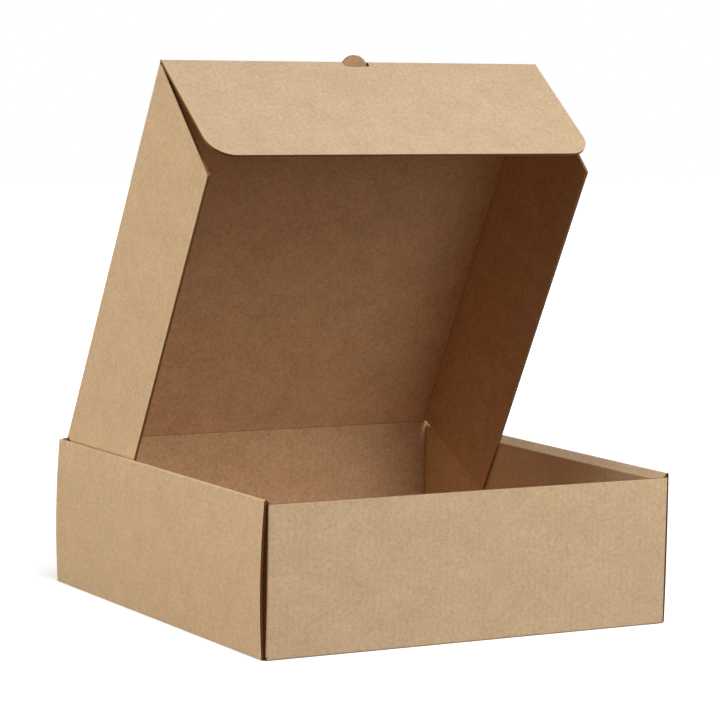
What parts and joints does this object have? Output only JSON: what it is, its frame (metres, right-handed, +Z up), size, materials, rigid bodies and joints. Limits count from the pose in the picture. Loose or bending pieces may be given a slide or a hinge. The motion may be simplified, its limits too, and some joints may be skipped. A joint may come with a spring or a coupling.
{
  "type": "hamper box",
  "caption": "Square shallow mailer box of folded kraft corrugated board, with rolled side walls and a raised hinged lid carrying side wings, a front tuck flap and a thumb tab.",
  "frame": {"origin": "centre of the tray's footprint, on the surface it stands on", "axes": "+Z up, -Y out of the front wall, +X to the right seen from the front"},
  "size_m": [0.4, 0.394, 0.4834],
  "materials": {
    "kraft_tray": "matt brown kraft liner",
    "kraft_lid": "matt brown kraft liner"
  },
  "bodies": {
    "tray": {"tray": "kraft_tray"},
    "lid": {"lid": "kraft_lid"}
  },
  "joints": [
    {"name": "lid_hinge", "type": "hinge", "parent": "tray", "child": "lid", "pos_m": [0, 0.1958, 0.1289], "axis": [-1, 0, 0], "range_deg": [-63, 117]}
  ]
}
